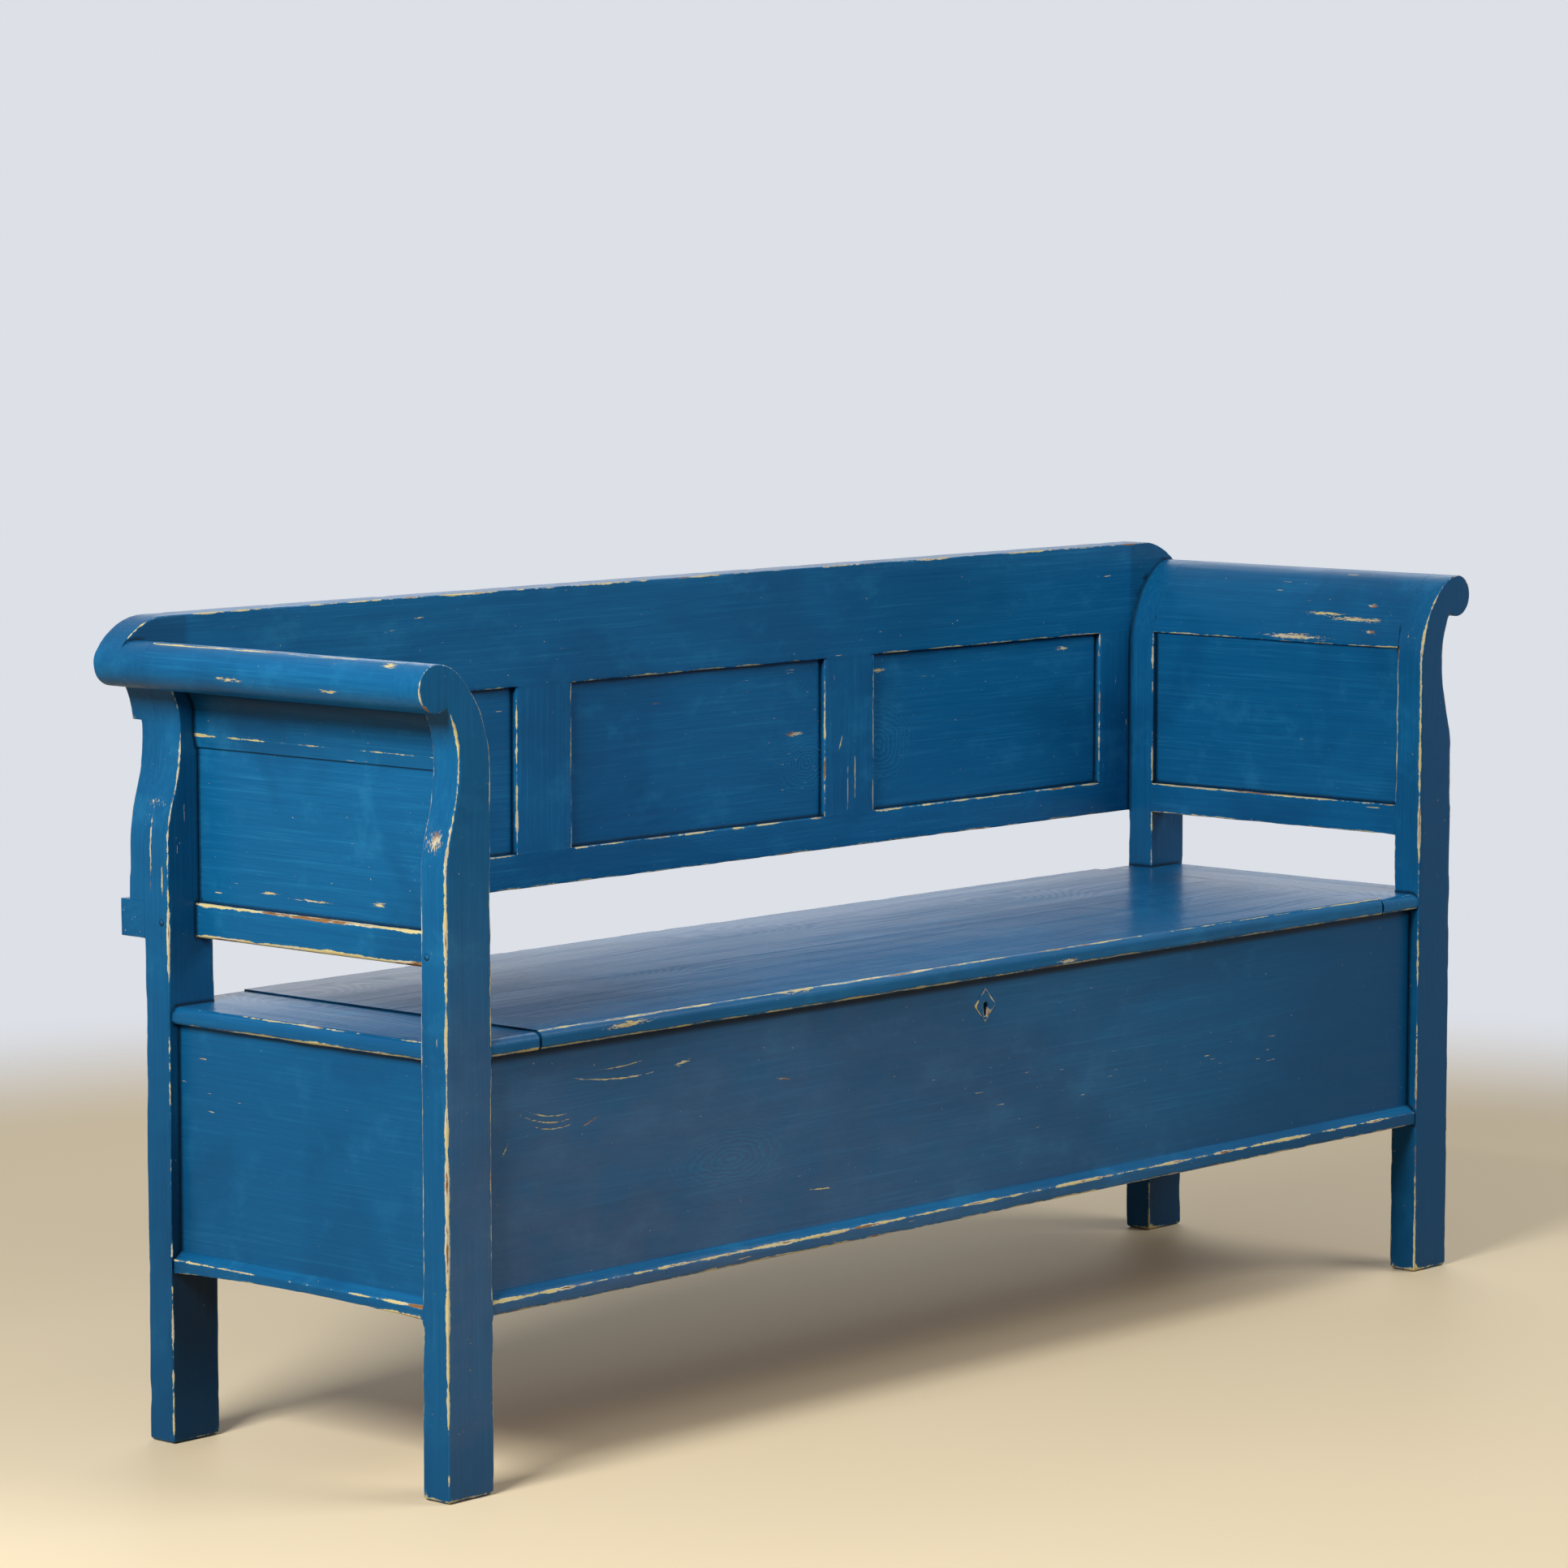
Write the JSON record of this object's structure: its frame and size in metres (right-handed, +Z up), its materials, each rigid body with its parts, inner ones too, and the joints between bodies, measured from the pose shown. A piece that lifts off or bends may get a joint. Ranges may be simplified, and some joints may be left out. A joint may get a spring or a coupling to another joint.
{
  "type": "painted box settle",
  "caption": "Long painted wooden bench with scrolled arms, a panelled back and a storage chest under a hinged seat lid.",
  "frame": {"origin": "on the floor, under the middle of the whole bench", "axes": "+X along the bench to the right as seen from the front, +Y from the front to the back, +Z up"},
  "size_m": [1.924, 0.525, 0.941],
  "materials": {
    "blue_painted_pine": "brushed oil paint, worn at the edges",
    "bare_pine": "unpainted, aged",
    "forged_iron": "dark, oiled",
    "escutcheon_plate": "painted over, worn bright round the keyhole"
  },
  "bodies": {
    "frame": {"arm_pegs": "blue_painted_pine", "back_bottom_rail": "blue_painted_pine", "back_muntin_1": "blue_painted_pine", "back_muntin_2": "blue_painted_pine", "back_panel_1": "blue_painted_pine", "back_panel_2": "blue_painted_pine", "back_panel_3": "blue_painted_pine", "back_pegs": "blue_painted_pine", "back_top_rail": "blue_painted_pine", "bearer_nails": "forged_iron", "chest_front": "blue_painted_pine", "chest_rear": "blue_painted_pine", "escutcheon": "escutcheon_plate", "escutcheon_pins": "escutcheon_plate", "floor_bearer_left": "bare_pine", "floor_bearer_left_end": "bare_pine", "floor_bearer_right": "bare_pine", "floor_bearer_right_end": "bare_pine", "floor_board_1": "bare_pine", "floor_board_2": "bare_pine", "floor_board_3": "bare_pine", "floor_nails": "forged_iron", "front_skirting": "blue_painted_pine", "left_arm_lower_rail": "blue_painted_pine", "left_arm_panel": "blue_painted_pine", "left_arm_roll": "blue_painted_pine", "left_back_stile": "blue_painted_pine", "left_chest_end": "blue_painted_pine", "left_front_post": "blue_painted_pine", "left_pivot_pin": "forged_iron", "left_rear_post": "blue_painted_pine", "left_seat_board": "blue_painted_pine", "left_skirting": "blue_painted_pine", "lock_case": "forged_iron", "lock_key_pin": "forged_iron", "lock_plate": "forged_iron", "lock_screws": "forged_iron", "lock_spring": "forged_iron", "right_arm_lower_rail": "blue_painted_pine", "right_arm_panel": "blue_painted_pine", "right_arm_roll": "blue_painted_pine", "right_back_stile": "blue_painted_pine", "right_chest_end": "blue_painted_pine", "right_front_post": "blue_painted_pine", "right_pivot_pin": "forged_iron", "right_rear_post": "blue_painted_pine", "right_seat_board": "blue_painted_pine", "right_skirting": "blue_painted_pine", "seat_nails": "forged_iron", "skirting_nails": "forged_iron"},
    "lid": {"lid_front_board": "blue_painted_pine", "lid_rear_board": "blue_painted_pine", "lid_batten_left": "bare_pine", "lid_batten_right": "bare_pine", "lid_screws": "forged_iron", "lid_staple": "forged_iron", "staple_screws": "forged_iron"},
    "bolt": {"lock_bolt": "forged_iron"}
  },
  "joints": [
    {"name": "lid_hinge", "type": "hinge", "parent": "frame", "child": "lid", "pos_m": [0, 0.2065, 0.493], "axis": [-1, 0, 0], "range_deg": [0, 90]},
    {"name": "bolt_slide", "type": "slide", "parent": "frame", "child": "bolt", "axis": [1, 0, 0], "range_m": [0, 0.01]}
  ]
}
